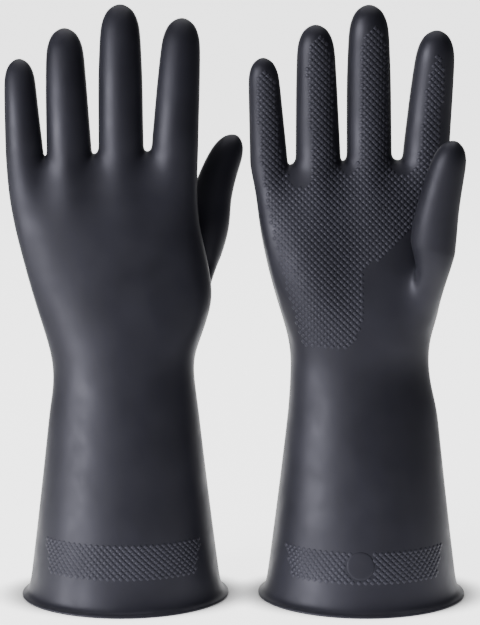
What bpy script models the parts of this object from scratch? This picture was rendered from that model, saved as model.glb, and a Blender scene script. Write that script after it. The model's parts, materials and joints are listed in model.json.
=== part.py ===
"""A pair of heavy dipped rubber gauntlet gloves, standing side by side on their cuffs.

Each glove is one film of rubber in life. Here the film is divided where it folds, so that it can
move: a cuff bead, a gauntlet, a hand, and two lengths for each finger. Every length but the hand
and the bead ends in a narrower neck that turns inside the length before it, about the crease.

Run it with blender --background --python part.py, or from Blender's text editor.
Metres, +Z up. Both gloves are made palm towards -Y and thumb towards +X. The left glove is
mirrored front to back, so that its back faces -Y.
"""

import math
from collections import namedtuple

import bmesh
import bpy
from mathutils import Vector

# Driving dimensions.
FILM = 0.0010  # wall of the dipped film
NECK_GAP = 0.0009  # between a neck and the length that it turns in
JOIN_GAP = 0.0004  # between the bead and the gauntlet that stands on it
BETWEEN_GLOVES = 0.1332  # centre to centre of the two cuffs

MOUTH_HALF_WIDTH = 0.0545
MOUTH_HALF_DEPTH = 0.0490
BEAD_HEIGHT = 0.0034
BEAD_REACH = 0.0040  # how far the bead flares beyond the gauntlet's mouth

WRIST_HEIGHT = 0.126
WRIST_HALF_WIDTH = 0.0392
WRIST_HALF_DEPTH = 0.0290
WRIST_RIM_DROP = 0.0110  # the gauntlet's rim, below the wrist's crease
WRIST_NECK_DROP = 0.0170  # the hand's neck reaches this far into the gauntlet
WRIST_STEP_RISE = 0.0125  # the neck widens to the hand, above the crease

ROUND_SIDES = 28
FINGER_SIDES = 12
FRONT_COLUMNS = 12  # the hand's columns across the palm: three for each finger
RING = 2 * FRONT_COLUMNS + 2
PUFF = 1.108  # a subdivided ring of eight points shrinks by this much
BASE_KNUCKLE = 0.012  # a finger's base crease, above the web

# How far each crease folds towards the palm, and how its two walls are cut back to allow it.
BASE_FLEX = 75
MIDDLE_FLEX = 80
THUMB_FLEX = 40
NECK_SHOULDER = 44  # angle above the crease at which a length widens from its neck
NECK_END = 44  # angle below the crease at which the neck ends
RIM_SLACK = 9  # angle kept clear between a folded length's shoulder and the rim
RIM_BACK = 9  # angle above the crease of a rim's dorsal side

# A finger's half width at its base, how much it tapers, and where its middle crease lies along it.
Finger = namedtuple("Finger", "name half_width taper middle")
FINGERS = (
    Finger("little", 0.0104, 0.20, 0.625),
    Finger("ring", 0.0122, 0.20, 0.545),
    Finger("middle", 0.0122, 0.12, 0.515),
    Finger("index", 0.0126, 0.20, 0.535),
)
THUMB = Finger("thumb", 0.0124, 0.28, 0.56)
THUMB_PAD = Vector((-0.92, -0.38, 0.0))  # the way that the thumb's pad faces
THUMB_ACROSS = Vector((0.72, 0.69, 0.0))  # the way that the creases run across its root
FINGER_FLATNESS = 0.94  # depth over width
FINGER_CURL = 0.010  # a tip lies this far towards the palm
TIP_ROUNDNESS = 1.5  # length over radius of a finger's round end
TIP_RINGS = (0.35, 0.72, 0.90, 0.98)  # shares of the way from a length's shoulder to its tip

# A glove: palm is -1 where it faces -Y. bases and tips are (across, height) of each finger's web and
# tip. outline is the hand's edge: (height, reach to the little side, reach to the thumb side).
# thumb runs from its root on the palm, by its lowest crease, to its tip.
Glove = namedtuple("Glove", "name side palm bases tips outline thumb")
GLOVES = (
    Glove(
        "left",
        -1,
        1,
        ((-0.0535, 0.2495), (-0.0290, 0.2500), (-0.0005, 0.2520), (0.0290, 0.2525)),
        ((-0.0570, 0.3000), (-0.0318, 0.3170), (-0.0010, 0.3300), (0.0332, 0.3225)),
        (
            (0.1405, 0.0412, 0.0408),
            (0.1580, 0.0464, 0.0474),
            (0.1720, 0.0505, 0.0512),
            (0.1880, 0.0548, 0.0492),
            (0.2060, 0.0590, 0.0444),
            (0.2280, 0.0628, 0.0414),
        ),
        ((0.0385, -0.0200, 0.188), (0.0478, -0.0310, 0.2130), (0.0622, -0.0400, 0.2560)),
    ),
    Glove(
        "right",
        1,
        -1,
        ((-0.0526, 0.2440), (-0.0256, 0.2465), (0.0024, 0.2480), (0.0334, 0.2470)),
        ((-0.0563, 0.3012), (-0.0278, 0.3192), (0.0010, 0.3300), (0.0384, 0.3162)),
        (
            (0.1405, 0.0408, 0.0368),
            (0.1580, 0.0450, 0.0408),
            (0.1720, 0.0494, 0.0432),
            (0.1880, 0.0536, 0.0446),
            (0.2060, 0.0572, 0.0451),
            (0.2280, 0.0600, 0.0458),
        ),
        ((0.0345, -0.0225, 0.188), (0.0385, -0.0350, 0.2140), (0.0460, -0.0465, 0.2590)),
    ),
)

# The hand's depth at the outline's heights: to the palm, and to the back.
HAND_DEPTHS = (
    (0.0286, 0.0264),
    (0.0288, 0.0242),
    (0.0280, 0.0220),
    (0.0258, 0.0196),
    (0.0214, 0.0172),
    (0.0165, 0.0152),
)
THUMB_ROWS = (2, 4)  # the thumb's root takes the rows between these levels
THUMB_COLUMNS = (9, 11)
SLIM = 2.0  # exponent of the outline's round corners at the wrist, and at the knuckles
SQUARE = 2.5


def smooth(t):
    t = min(1.0, max(0.0, t))
    return t * t * (3 - 2 * t)


def lerp(a, b, t):
    return a + (b - a) * t


# ---------------------------------------------------------------- fingers


class Line:
    """A finger's centre line from its base to its tip, with its crease and pad directions."""

    def __init__(self, base, tip, finger, pad):
        self.base = Vector(base)
        self.reach = Vector(tip) - self.base
        self.finger = finger
        self.curl = self.reach.dot(pad) * pad
        self.straight = self.reach - self.curl
        self.length = self.straight.length
        along = self.straight.normalized()
        self.pad = (pad - along * pad.dot(along)).normalized()
        self.crease = along.cross(self.pad).normalized()

    def point(self, t):
        return self.base + self.straight * t + self.curl * t * t

    def direction(self, t):
        return (self.straight + self.curl * 2 * t).normalized()

    def half_width(self, t):
        """The finger tapers, and closes in a round end."""
        half = self.finger.half_width * (1 - self.finger.taper * t)
        end = TIP_ROUNDNESS * self.finger.half_width * (1 - self.finger.taper)
        into_end = max(0.0, 1 - (1 - t) * self.length / end)
        return half * math.sqrt(max(0.0, 1 - into_end**2))

    def creases(self):
        """Where along the line the base and the middle crease lie."""
        return (self.base_crease(), self.finger.middle)

    def base_crease(self):
        return BASE_KNUCKLE / self.length if self.finger is not THUMB else 0.10


def finger_lines(glove):
    """The four fingers' lines, little finger first, and the thumb's."""
    lines = []
    palm = Vector((0, -1, 0))
    for finger, (base, web), (tip, top) in zip(FINGERS, glove.bases, glove.tips):
        lines.append(Line((base, 0, web), (tip, -FINGER_CURL, top), finger, palm))
    root, knuckle, tip = (Vector(p) for p in glove.thumb)
    pad = THUMB_PAD.normalized()
    lines.append(Line(knuckle, tip, THUMB, pad))
    return lines


def finger_ring(line, t, rise, half_width, half_depth, tilt=0.0, sides=FINGER_SIDES, dorsal=0.0):
    """A ring round the line: rise is along it from t, and tilt lifts the ring's dorsal side."""
    along = line.direction(t)
    crease = (line.crease - along * line.crease.dot(along)).normalized()
    back = along.cross(crease)
    centre = line.point(t) + along * rise
    points = []
    for i in range(sides):
        turn = 2 * math.pi * i / sides
        across = math.cos(turn) * half_width
        deep = math.sin(turn) * half_depth + dorsal
        points.append(centre + crease * across + back * deep + along * (tilt * deep))
    return points


# ---------------------------------------------------------------- meshes


def add_rings(bm, rings, close_top=False):
    """Skins a stack of rings. close_top ends it in a point."""
    made = [[bm.verts.new(p) for p in ring] for ring in rings]
    for low, high in zip(made, made[1:]):
        for i in range(len(low)):
            j = (i + 1) % len(low)
            bm.faces.new((low[i], low[j], high[j], high[i]))
    if close_top:
        top = bm.verts.new(sum((v.co for v in made[-1]), Vector()) / len(made[-1]))
        for i, v in enumerate(made[-1]):
            bm.faces.new((v, made[-1][(i + 1) % len(made[-1])], top))
    return made


def new_object(name, bm, glove, material):
    """Makes the object, mirroring a left glove front to back. Its faces end up pointing out."""
    if glove.palm > 0:
        for v in bm.verts:
            v.co.y = -v.co.y
    for v in bm.verts:
        v.co.x += glove.side * BETWEEN_GLOVES / 2
    bmesh.ops.recalc_face_normals(bm, faces=bm.faces)
    mesh = bpy.data.meshes.new(name)
    bm.to_mesh(mesh)
    bm.free()
    mesh.shade_smooth()
    mesh.materials.append(material)
    obj = bpy.data.objects.new(f"{glove.name}_{name}", mesh)
    bpy.context.scene.collection.objects.link(obj)
    return obj


def shell(outer, inner, close_top=False):
    """A closed wall between two stacks of rings, joined at their ends."""
    bm = bmesh.new()
    if close_top:
        outside = add_rings(bm, outer, close_top=True)
        inside = add_rings(bm, inner, close_top=True)
        rims = ((outside[0], inside[0]),)
    else:
        outside = add_rings(bm, outer)
        inside = add_rings(bm, inner)
        rims = ((outside[0], inside[0]), (outside[-1], inside[-1]))
    for a, b in rims:
        for i in range(len(a)):
            j = (i + 1) % len(a)
            bm.faces.new((a[i], a[j], b[j], b[i]))
    return bm


# ---------------------------------------------------------------- cuff and gauntlet


def oval(half_width, half_depth, height, x=0.0):
    points = []
    for i in range(ROUND_SIDES):
        turn = 2 * math.pi * i / ROUND_SIDES
        points.append(Vector((x + half_width * math.cos(turn), half_depth * math.sin(turn), height)))
    return points


def gauntlet_half(height):
    """The gauntlet's half width and half depth: a cone that flares a little more towards its mouth."""
    t = (height - BEAD_HEIGHT) / (WRIST_HEIGHT - BEAD_HEIGHT)
    flare = t + 0.10 * t * (1 - t)
    return (
        lerp(MOUTH_HALF_WIDTH, WRIST_HALF_WIDTH, flare),
        lerp(MOUTH_HALF_DEPTH, WRIST_HALF_DEPTH, flare),
    )


def make_bead(glove, rubber):
    """The rolled bead that stiffens the mouth. Its flat underside is what the glove stands on."""
    a, b = MOUTH_HALF_WIDTH, MOUTH_HALF_DEPTH
    outer = ((BEAD_REACH, 0.0), (BEAD_REACH, 0.0010), (BEAD_REACH - 0.0014, 0.0022), (0.0, BEAD_HEIGHT))
    inner = ((BEAD_REACH - 0.0034, 0.0), (BEAD_REACH - 0.0040, 0.0010), (-FILM - 0.0004, BEAD_HEIGHT))
    stacks = [[oval(a + out, b + out, z) for out, z in profile] for profile in (outer, inner)]
    return new_object("cuff_bead", shell(*stacks), glove, rubber)


def make_gauntlet(glove, rubber):
    low, high = BEAD_HEIGHT + JOIN_GAP, WRIST_HEIGHT - WRIST_RIM_DROP
    levels = [lerp(low, high, i / 3) for i in range(4)]
    outer = [oval(*gauntlet_half(z), z) for z in levels]
    inner = [oval(a - FILM, b - FILM, z) for z in levels for a, b in (gauntlet_half(z),)]
    return new_object("gauntlet", shell(outer, inner), glove, rubber)


# ---------------------------------------------------------------- hand


def column_shares():
    """The front columns' places across the wrist, evenly round its oval."""
    step = math.pi / (FRONT_COLUMNS + 1)
    return [-math.cos(step * (i + 1)) for i in range(FRONT_COLUMNS)]


def knuckle_columns(glove):
    """The front columns' places across the knuckles: three for each finger."""
    places = []
    for finger, (base, _) in zip(FINGERS, glove.bases):
        reach = finger.half_width * math.sqrt(0.5) * PUFF
        places += [base - reach, base, base + reach]
    return places


def hand_ring(glove, outline, depths):
    """One ring of the hand: front columns, index side, back columns, little side."""
    height, little, index = outline
    palm, rear = depths
    middle, half = (index - little) / 2, (index + little) / 2
    along = smooth((height - 0.135) / 0.085)
    power = lerp(SLIM, SQUARE, along)
    front, back = [], []
    for share, place in zip(column_shares(), knuckle_columns(glove)):
        u = max(-0.96, min(0.96, lerp(share, (place - middle) / half, along)))
        bulge = (1 - abs(u) ** power) ** (1 / power)
        front.append(Vector((middle + half * u, -palm * bulge, height)))
        back.append(Vector((middle + half * u, rear * bulge, height)))
    index_side = Vector((index, 0, height))
    little_side = Vector((-little, 0, height))
    return front + [index_side] + back[::-1] + [little_side]


def neck_ring(half_width, half_depth, height):
    """A ring of the hand's neck, with the hand's number of points."""
    front, back = [], []
    for share in column_shares():
        deep = half_depth * math.sqrt(1 - share * share)
        front.append(Vector((half_width * share, -deep, height)))
        back.append(Vector((half_width * share, deep, height)))
    sides = Vector((half_width, 0, height)), Vector((-half_width, 0, height))
    return front + [sides[0]] + back[::-1] + [sides[1]]


def knuckle_loop(line):
    """The eight points at a finger's base, on the web: front three, index side, back three."""
    width = line.finger.half_width * PUFF
    depth = width * FINGER_FLATNESS
    loop = []
    for i in range(8):
        turn = math.radians(225 + 45 * i)
        drop = 0.004 if i in (0, 2, 4, 6) else 0.006
        drop = 0.0 if i in (3, 7) else drop
        loop.append(line.base + Vector((width * math.cos(turn), depth * math.sin(turn), -drop)))
    return loop


def socket_loop(line, rim, tilt):
    """The rim of a finger's socket, tilted so that the finger can fold to the palm."""
    t = line.creases()[0]
    half = line.half_width(0) * PUFF
    ring = finger_ring(line, t, rim, half, half * FINGER_FLATNESS, tilt, sides=8)
    return ring[5:] + ring[:5]


def rim_tilt(line, t, flex):
    """The rise and the tilt of the rim below a crease that folds by flex degrees."""
    depth = line.half_width(t) * FINGER_FLATNESS
    cut_back = max(flex / 2, flex - NECK_SHOULDER + RIM_SLACK)
    palm = -depth * math.tan(math.radians(cut_back))
    dorsal = depth * math.tan(math.radians(RIM_BACK))
    return (palm + dorsal) / 2, (dorsal - palm) / (2 * depth)


def thumb_loops(glove, line):
    """The thumb's root on the hand, up to its socket's rim."""
    root = Vector(glove.thumb[0])
    t = line.creases()[0]
    top = line.point(t) + line.direction(t) * -0.006
    loops = []
    for share in (0.45, 1.0):
        centre = root.lerp(top, share) + Vector((0.002, -0.003, 0)) * (1 - share)
        along = (Vector((0.55, -0.50, 0.66)).lerp(line.direction(t), share)).normalized()
        up = along.cross(THUMB_ACROSS).normalized()
        side = up.cross(along).normalized()
        half = THUMB.half_width * PUFF * lerp(1.18, 1.0, share)
        ring = []
        for i in range(8):
            turn = math.radians(225 + 45 * i)
            ring.append(centre + side * half * math.cos(turn) + up * half * math.sin(turn))
        loops.append(ring)
    return loops


def make_hand(glove, lines, rubber):
    """The hand, from its neck in the gauntlet to the five finger sockets."""
    bm = bmesh.new()
    inside = FILM + NECK_GAP
    neck_width, neck_depth = WRIST_HALF_WIDTH - inside, WRIST_HALF_DEPTH - inside
    rings = [
        neck_ring(neck_width - 0.0050, neck_depth - 0.0060, WRIST_HEIGHT - WRIST_NECK_DROP),
        neck_ring(neck_width - 0.0012, neck_depth - 0.0014, WRIST_HEIGHT - WRIST_NECK_DROP / 2),
        neck_ring(neck_width, neck_depth, WRIST_HEIGHT),
        neck_ring(neck_width, neck_depth - 0.0010, WRIST_HEIGHT + WRIST_STEP_RISE - 0.0020),
    ]
    first = len(rings)
    rings += [hand_ring(glove, *level) for level in zip(glove.outline, HAND_DEPTHS)]
    made = [[bm.verts.new(p) for p in ring] for ring in rings]

    for row, (low, high) in enumerate(zip(made, made[1:])):
        for i in range(RING):
            in_rows = THUMB_ROWS[0] <= row - first < THUMB_ROWS[1]
            if in_rows and THUMB_COLUMNS[0] <= i < THUMB_COLUMNS[1]:
                continue
            j = (i + 1) % RING
            bm.faces.new((low[i], low[j], high[j], high[i]))

    bridge_fingers(bm, made[-1], lines[:4])
    left, right = THUMB_COLUMNS
    bottom, top = (made[first + row] for row in THUMB_ROWS)
    middle = made[first + THUMB_ROWS[0] + 1]
    hole = [bottom[left], bottom[left + 1], bottom[right], middle[right]]
    hole += [top[right], top[left + 1], top[left], middle[left]]
    raise_loops(bm, hole, thumb_loops(glove, lines[4]))

    obj = new_object("hand", bm, glove, rubber)
    subdivide = obj.modifiers.new("Subdivide", "SUBSURF")
    subdivide.levels = subdivide.render_levels = 1
    wall = obj.modifiers.new("Film", "SOLIDIFY")
    wall.thickness = FILM
    wall.offset = -1
    return obj


def raise_loops(bm, loop, higher):
    """Adds rings of points above a loop of vertices, and the faces between."""
    for points in higher:
        new = [bm.verts.new(p) for p in points]
        for i in range(len(loop)):
            j = (i + 1) % len(loop)
            bm.faces.new((loop[i], loop[j], new[j], new[i]))
        loop = new
    return loop


def bridge_fingers(bm, ring, lines):
    """Joins the hand's top ring to the four finger bases, with a web between neighbours."""
    back = len(ring) - 2
    loops = []
    for k, line in enumerate(lines):
        points = knuckle_loop(line)
        loops.append([bm.verts.new(p) for p in points])
    for k, loop in enumerate(loops):
        f = 3 * k
        front = [ring[f], ring[f + 1], ring[f + 2]]
        rear = [ring[back - f], ring[back - f - 1], ring[back - f - 2]]
        for i in range(2):
            bm.faces.new((front[i], front[i + 1], loop[i + 1], loop[i]))
            bm.faces.new((rear[i + 1], rear[i], loop[6 - i], loop[5 - i]))
        if k < 3:
            after = loops[k + 1]
            bm.faces.new((ring[f + 2], ring[f + 3], after[0], loop[2]))
            bm.faces.new((ring[back - f - 3], ring[back - f - 2], loop[4], after[6]))
            bm.faces.new((loop[2], after[0], after[7], loop[3]))
            bm.faces.new((loop[3], after[7], after[6], loop[4]))
    index_side, little_side = ring[FRONT_COLUMNS], ring[-1]
    first, last = loops[0], loops[-1]
    bm.faces.new((ring[FRONT_COLUMNS - 1], index_side, last[3], last[2]))
    bm.faces.new((index_side, ring[FRONT_COLUMNS + 1], last[4], last[3]))
    bm.faces.new((ring[back], little_side, first[7], first[6]))
    bm.faces.new((little_side, ring[0], first[0], first[7]))
    for line, loop in zip(lines, loops):
        rim, tilt = rim_tilt(line, line.creases()[0], BASE_FLEX)
        raise_loops(bm, loop, [socket_loop(line, rim, tilt)])


# ---------------------------------------------------------------- finger lengths


def neck_rings(line, t, radius):
    """A wall round a crease: a ball below it, that turns in the rim, and a straight neck above."""
    depth = radius * FINGER_FLATNESS
    rings = []
    for angle in (NECK_END, NECK_END / 2, 0):
        share, drop = math.cos(math.radians(angle)), math.sin(math.radians(angle))
        rings.append(finger_ring(line, t, -drop * depth, share * radius, share * depth))
    shoulder = depth * math.tan(math.radians(NECK_SHOULDER))
    rings.append(finger_ring(line, t, shoulder * 0.92, radius, depth))
    return rings


def body_ring(line, t, rise, wall=0.0, tilt=0.0):
    """A ring of a finger's own wall, at its surface or its inside."""
    half = line.half_width(t) - wall
    return finger_ring(line, t, rise, half, half * FINGER_FLATNESS, tilt)


def crease_radius(line, t):
    """The radius of the neck that turns at this crease."""
    return line.half_width(max(t, 0) if t > 0.3 else 0) - FILM - NECK_GAP


def make_finger_base(glove, line, rubber):
    """From the base crease to the middle crease."""
    low, high = line.creases()
    flex = THUMB_FLEX if line.finger is THUMB else MIDDLE_FLEX
    radius = crease_radius(line, low)
    shoulder = low + radius / line.length
    rim, tilt = rim_tilt(line, high, flex)
    outer = neck_rings(line, low, radius)
    outer += [body_ring(line, shoulder, 0), body_ring(line, high, rim, 0, tilt)]
    inner = neck_rings(line, low, radius - FILM) + [body_ring(line, high, rim, FILM, tilt)]
    return new_object(f"{line.finger.name}_base", shell(outer, inner), glove, rubber)


def make_finger_tip(glove, line, rubber):
    """From the middle crease to the closed tip."""
    t = line.creases()[1]
    radius = crease_radius(line, t)
    shoulder = t + radius / line.length
    outer = neck_rings(line, t, radius) + [body_ring(line, shoulder, 0)]
    inner = neck_rings(line, t, radius - FILM)
    for share in TIP_RINGS:
        s = lerp(shoulder, 1.0, share)
        outer.append(body_ring(line, s, 0))
        inner.append(body_ring(line, s, -FILM * share, FILM))
    bm = shell(outer, inner, close_top=True)
    tips = sorted((v for v in bm.verts if len(v.link_edges) == FINGER_SIDES), key=lambda v: v.co.z)
    tips[-1].co = line.point(1.0)
    tips[0].co = line.point(1.0) - line.direction(1.0) * FILM * 1.2
    return new_object(f"{line.finger.name}_tip", bm, glove, rubber)


# ---------------------------------------------------------------- the pair


def black_rubber():
    material = bpy.data.materials.new("black_rubber")
    material.use_nodes = True
    shader = material.node_tree.nodes["Principled BSDF"]
    shader.inputs["Base Color"].default_value = (0.022, 0.022, 0.027, 1)
    shader.inputs["Roughness"].default_value = 0.45
    shader.inputs["Metallic"].default_value = 0.0
    return material


def clear_scene():
    for obj in list(bpy.data.objects):
        bpy.data.objects.remove(obj)


def centre_over_origin(objects):
    """Moves the pair so that the middle of its box stands over the origin."""
    bpy.context.view_layer.update()
    graph = bpy.context.evaluated_depsgraph_get()
    corners = []
    for obj in objects:
        mesh = obj.evaluated_get(graph).to_mesh()
        corners += [v.co.copy() for v in mesh.vertices]
    low = Vector([min(c[k] for c in corners) for k in range(3)])
    high = Vector([max(c[k] for c in corners) for k in range(3)])
    middle = (low + high) / 2
    for obj in objects:
        obj.location = (-middle.x, -middle.y, 0)


def main():
    clear_scene()
    rubber = black_rubber()
    objects = []
    for glove in GLOVES:
        lines = finger_lines(glove)
        objects += [make_bead(glove, rubber), make_gauntlet(glove, rubber)]
        objects.append(make_hand(glove, lines, rubber))
        for line in lines:
            objects.append(make_finger_base(glove, line, rubber))
            objects.append(make_finger_tip(glove, line, rubber))
    centre_over_origin(objects)


main()
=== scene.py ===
"""A pair of heavy black rubber gauntlet gloves, standing side by side on their flared cuffs.

Each glove is one dipped film with a raised grip on its palm, its fingers and round its cuff. Both
are shaped here palm towards -Y and thumb towards +X, and the left-hand glove is then mirrored
front to back. The film is cut into lengths at its creases.
"""

import json
import math
from collections import namedtuple

import bmesh
import bpy
import numpy as np
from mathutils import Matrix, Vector
from mathutils.bvhtree import BVHTree


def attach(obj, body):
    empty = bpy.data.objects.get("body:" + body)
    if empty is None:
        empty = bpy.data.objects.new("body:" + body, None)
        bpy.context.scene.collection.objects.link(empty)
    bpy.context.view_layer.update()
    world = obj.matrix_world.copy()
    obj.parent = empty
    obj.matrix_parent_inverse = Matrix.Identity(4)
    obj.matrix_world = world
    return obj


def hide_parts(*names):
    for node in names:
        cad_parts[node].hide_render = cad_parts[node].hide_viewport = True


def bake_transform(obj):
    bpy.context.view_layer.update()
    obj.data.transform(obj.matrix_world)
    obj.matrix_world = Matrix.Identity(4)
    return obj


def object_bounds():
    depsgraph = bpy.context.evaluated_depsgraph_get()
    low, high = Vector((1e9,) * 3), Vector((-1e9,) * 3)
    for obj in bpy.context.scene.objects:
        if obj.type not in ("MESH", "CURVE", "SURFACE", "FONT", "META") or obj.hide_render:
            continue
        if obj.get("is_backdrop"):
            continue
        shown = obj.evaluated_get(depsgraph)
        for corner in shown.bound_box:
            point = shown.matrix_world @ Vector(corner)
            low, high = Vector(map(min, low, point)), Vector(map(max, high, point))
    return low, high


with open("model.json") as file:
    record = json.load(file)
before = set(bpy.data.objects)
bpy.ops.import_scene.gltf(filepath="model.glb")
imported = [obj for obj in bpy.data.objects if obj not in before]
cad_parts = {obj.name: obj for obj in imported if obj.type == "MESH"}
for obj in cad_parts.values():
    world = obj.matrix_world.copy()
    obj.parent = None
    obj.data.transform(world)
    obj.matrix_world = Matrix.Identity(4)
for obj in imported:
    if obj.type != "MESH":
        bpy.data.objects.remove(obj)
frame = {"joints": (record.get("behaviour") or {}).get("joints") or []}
packed_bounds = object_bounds()
JOINTS = {joint["name"]: joint for joint in frame["joints"]}

# ---------------------------------------------------------------- sizes, in metres

# The cuff, from its lip up to its seam with the hand.
FILM = 0.0010
MOUTH_HALF_WIDTH = 0.0545
MOUTH_HALF_DEPTH = 0.0490
WRIST = 0.128
WRIST_HALF_WIDTH = 0.0392
WRIST_HALF_DEPTH = 0.0285
CUFF_FLARE = 0.13
CUFF_SEAM = 0.106

# The lip's section, from the inside round its underside to the outside: (height, beyond the cone).
LIP = (
    (0.0060, -0.0010),
    (0.0030, -0.0008),
    (0.0014, 0.0004),
    (0.0002, 0.0016),
    (0.0000, 0.0026),
    (0.0003, 0.0036),
    (0.0011, 0.0040),
    (0.0018, 0.0035),
    (0.0023, 0.0022),
    (0.0036, 0.0010),
    (0.0058, 0.0004),
    (0.0100, 0.0000),
)
INNER_WALL = (CUFF_SEAM, 0.085, 0.055, 0.030, 0.014)
OUTER_WALL = (0.020, 0.036, 0.056, 0.078, 0.094, CUFF_SEAM)

# The cage of quads that is smoothed into the skin.
FRONT_COLUMNS = 12
RING_SHRINK = 0.9903  # a ring of 26 points, once it is smoothed
FINGER_SHRINK = 0.902  # a ring of eight
SMOOTHING = 3

# The hand's depth: height, to the palm, to the back.
HAND_DEPTH = (
    (0.118, 0.0300, 0.0296),
    (0.128, 0.0285, 0.0280),
    (0.137, 0.0282, 0.0270),
    (0.147, 0.0286, 0.0258),
    (0.158, 0.0288, 0.0242),
    (0.170, 0.0282, 0.0222),
    (0.186, 0.0260, 0.0198),
    (0.203, 0.0222, 0.0176),
    (0.214, 0.0192, 0.0164),
    (0.228, 0.0165, 0.0152),
)

# Higher up the hand, the rings' columns turn towards the knuckles and the oval grows squarer.
KNUCKLES_FROM = 0.135
KNUCKLES_OVER = 0.085
OVAL = 2.0
SQUARER = 2.6
EDGE_COLUMN = 0.965  # the farthest that a column goes, as a share of the half width

# Soft swellings and hollows: x, height, half width, half height, and how far they stand out. They
# reach their full height this far from the middle of the hand's depth.
PALM_FACING = 0.014
PALM_SWELLINGS = (
    (0.0260, 0.1700, 0.0190, 0.0280, 0.0060),
    (-0.0330, 0.1700, 0.0160, 0.0300, 0.0025),
    (-0.0080, 0.2000, 0.0180, 0.0260, -0.0030),
)

# The dip between two knuckles: below the web, its half width, its half height and its depth. It
# leaves out the points nearer than this to the middle of the hand's depth.
WEB_DIP = (0.012, 0.0065, 0.0180, 0.0036)
WEB_DIP_FROM = 0.004

# A finger's half width at its base, its middle and the start of its round end.
Finger = namedtuple("Finger", "name half_width mid_width tip_width")
FINGERS = (
    Finger("little", 0.0104, 0.0092, 0.0080),
    Finger("ring", 0.0124, 0.0113, 0.0098),
    Finger("middle", 0.0124, 0.0121, 0.0104),
    Finger("index", 0.0128, 0.0117, 0.0100),
)
THUMB = Finger("thumb", 0.0124, 0.0106, 0.0086)
THUMB_ACROSS = Vector((0.72, 0.69, 0.0))
THUMB_PAD = Vector((-0.92, -0.38, 0)).normalized()
FLATNESS = 0.94
CURL = 0.010

# Rings above the web, up to the seam between a finger's two lengths.
FINGER_RINGS = (0.0030, 0.0080, 0.0160, 0.0248)
THUMB_RINGS = (0.0045, 0.0095, 0.0145)
RING_STEP = 0.009  # above the seam
LOOP_TURNS = [math.radians(225 + 45 * i) for i in range(8)]  # from the front's left side
KNUCKLE_DROP = (0.0050, 0.0060, 0.0050, 0.0010)  # of a knuckle's points, below its web
KNUCKLE_CORNER = 0.90  # how much flatter a knuckle's loop is at its corners

# A round end: how far into the end, and how wide there.
ROUND_END = ((0.36, 0.965), (0.64, 0.83), (0.86, 0.60))
END_LENGTH = 1.75  # over the half width at the tip
TIP_OVER = 0.0026  # the cage's last point, past the fingertip that it is smoothed into

# The thumb's root: its hole in the hand's rings, and its loops from the palm up to its base length
# (share of the way, width). The loops start off the straight way by the shift, and tilted.
THUMB_ROWS = (4, 6)
THUMB_COLUMNS = (9, 11)
THUMB_ROOT_LOOPS = ((0.32, 0.88), (0.66, 0.99), (1.0, 1.02))
THUMB_ROOT_SHIFT = Vector((0.0026, -0.0045, 0.0000))
THUMB_ROOT_TILT = Vector((0.50, -0.46, 0.73))
THUMB_ROOT_TOP = 0.0065  # below the thumb's lowest crease

# The valley between the thumb's root and the palm, which is evened out.
THUMB_VALLEY = Vector((0.0275, -0.0300, 0.1740))
VALLEY_REACH = 0.030
VALLEY_STRENGTH = 0.6
VALLEY_CORE = 1.4  # over 1, the full strength lasts some way out from the centre
VALLEY_ROUNDS = 170

# A glove: palm is -1 where it faces -Y. bases and tips are (across, height) of each finger's web and
# tip. outline is the hand's edge: (height, reach to the little side, reach to the thumb side).
# thumb runs from its root on the palm, by its lowest crease, to its tip.
Glove = namedtuple("Glove", "name palm bases tips outline thumb")
GLOVES = (
    Glove(
        "left",
        1,
        ((-0.0535, 0.2495), (-0.0290, 0.2500), (-0.0005, 0.2520), (0.0290, 0.2525)),
        ((-0.0570, 0.3000), (-0.0318, 0.3170), (-0.0010, 0.3300), (0.0332, 0.3225)),
        (
            (0.118, 0.0396, 0.0400),
            (0.128, 0.0393, 0.0390),
            (0.137, 0.0404, 0.0396),
            (0.147, 0.0430, 0.0432),
            (0.158, 0.0464, 0.0474),
            (0.170, 0.0500, 0.0512),
            (0.186, 0.0542, 0.0496),
            (0.203, 0.0584, 0.0452),
            (0.214, 0.0606, 0.0424),
            (0.228, 0.0628, 0.0414),
        ),
        ((0.0365, -0.0200, 0.176), (0.0472, -0.0310, 0.2130), (0.0632, -0.0400, 0.2560)),
    ),
    Glove(
        "right",
        -1,
        ((-0.0526, 0.2440), (-0.0256, 0.2465), (0.0024, 0.2480), (0.0334, 0.2470)),
        ((-0.0563, 0.3012), (-0.0278, 0.3192), (0.0010, 0.3300), (0.0384, 0.3162)),
        (
            (0.118, 0.0408, 0.0385),
            (0.128, 0.0404, 0.0368),
            (0.137, 0.0404, 0.0364),
            (0.147, 0.0418, 0.0374),
            (0.158, 0.0450, 0.0408),
            (0.170, 0.0488, 0.0430),
            (0.186, 0.0532, 0.0445),
            (0.203, 0.0568, 0.0450),
            (0.214, 0.0584, 0.0452),
            (0.228, 0.0600, 0.0458),
        ),
        ((0.0325, -0.0220, 0.176), (0.0362, -0.0345, 0.2140), (0.0452, -0.0465, 0.2590)),
    ),
)

# Piece numbers, kept in the faces' material index while the skin is one mesh.
CUFF, HAND = 0, 1
PIECES = ["cuff", "hand"]
for finger_name in ("little", "ring", "middle", "index", "thumb"):
    PIECES += [f"{finger_name}_base", f"{finger_name}_tip"]
NODES_OF = {"cuff": ("cuff_bead", "gauntlet")}  # the other pieces stand for a node each

# A stretch of the wrist, as its lowest and highest heights.
WRIST_FOLD = (0.1085, 0.1475)

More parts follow.
